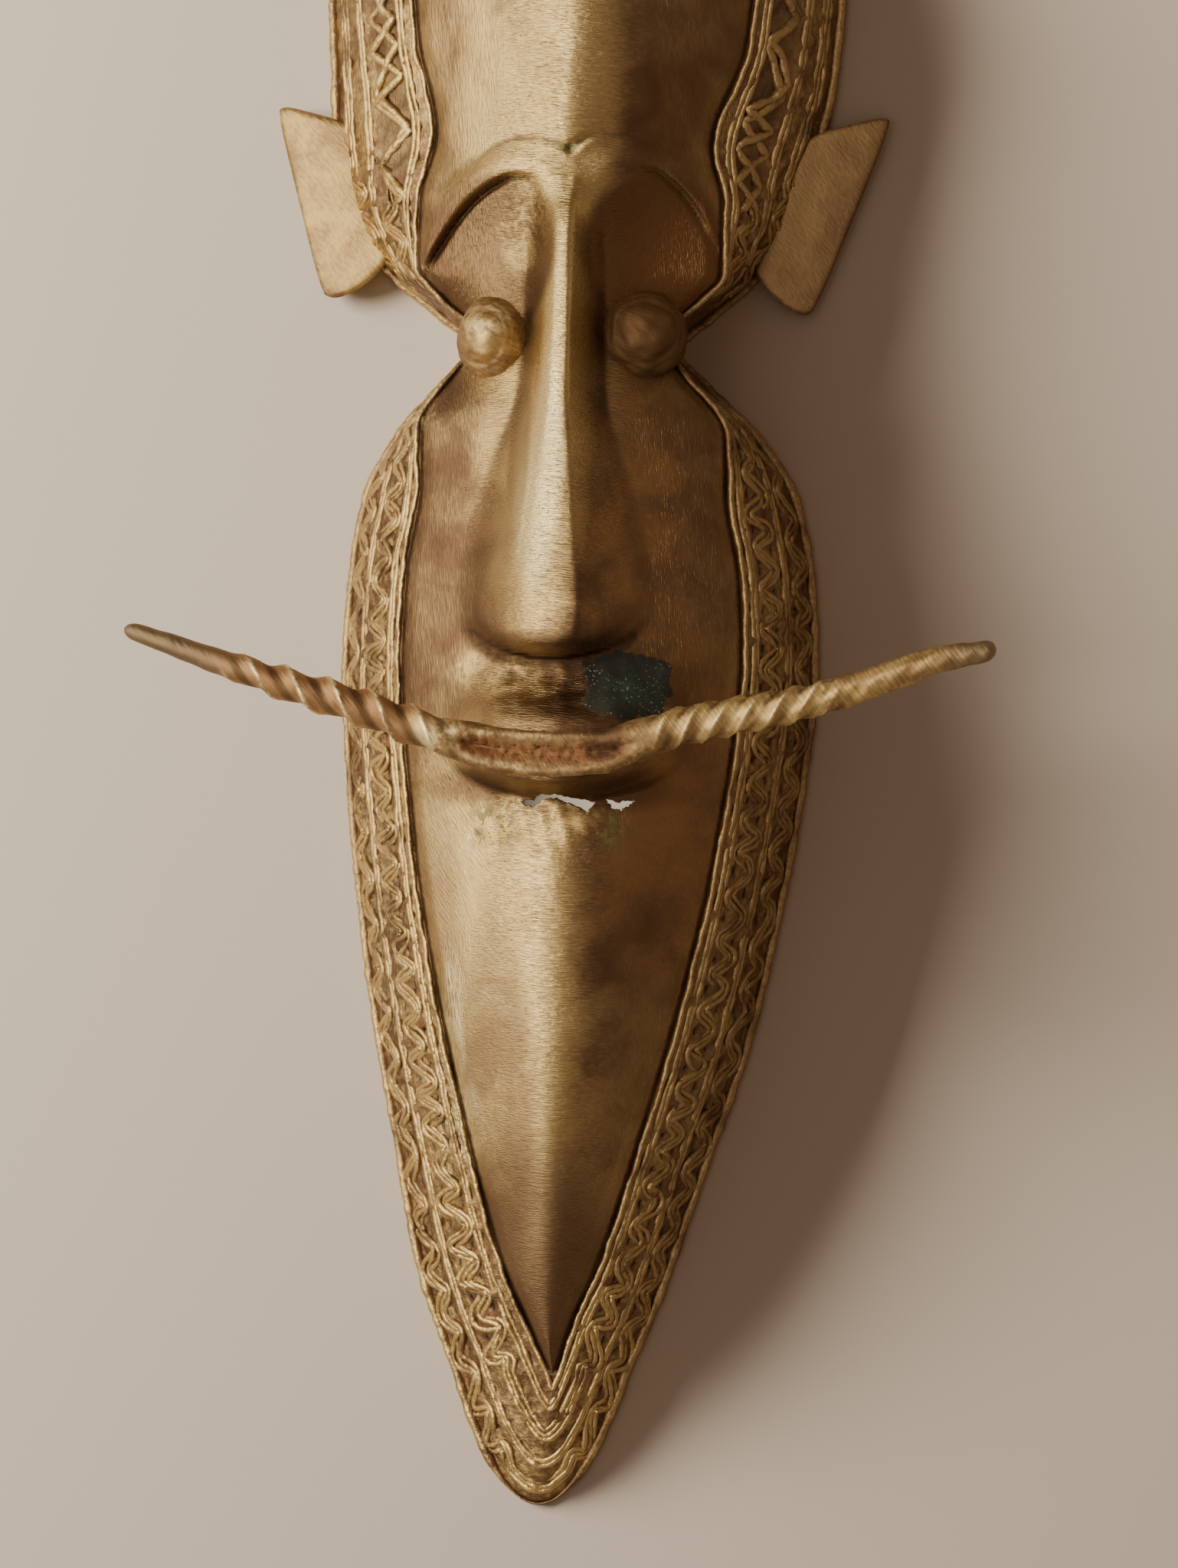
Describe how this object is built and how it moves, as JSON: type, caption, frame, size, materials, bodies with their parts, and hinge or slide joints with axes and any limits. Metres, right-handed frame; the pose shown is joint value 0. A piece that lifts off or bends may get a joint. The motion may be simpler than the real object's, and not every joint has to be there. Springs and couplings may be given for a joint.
{
  "type": "brass mask",
  "caption": "Hollow cast brass mask: domed forehead, waist pinched at the eyes, long pointed lower face, border of relief threads, thin ears, twisted rods growing from the mouth.",
  "frame": {"origin": "under the middle of the mask's box, in the plane that its rim lies on", "axes": "+Z out of the face, which is up as the mask lies on its rim; +Y from the chin to the forehead; +X to the right of the face as seen"},
  "size_m": [0.211, 0.467, 0.066],
  "materials": {
    "brass": "brushed and filed brass with dark patina in the recesses, copper-red pits and a spot of verdigris"
  },
  "bodies": {
    "root": {"mask": "brass"}
  },
  "joints": []
}
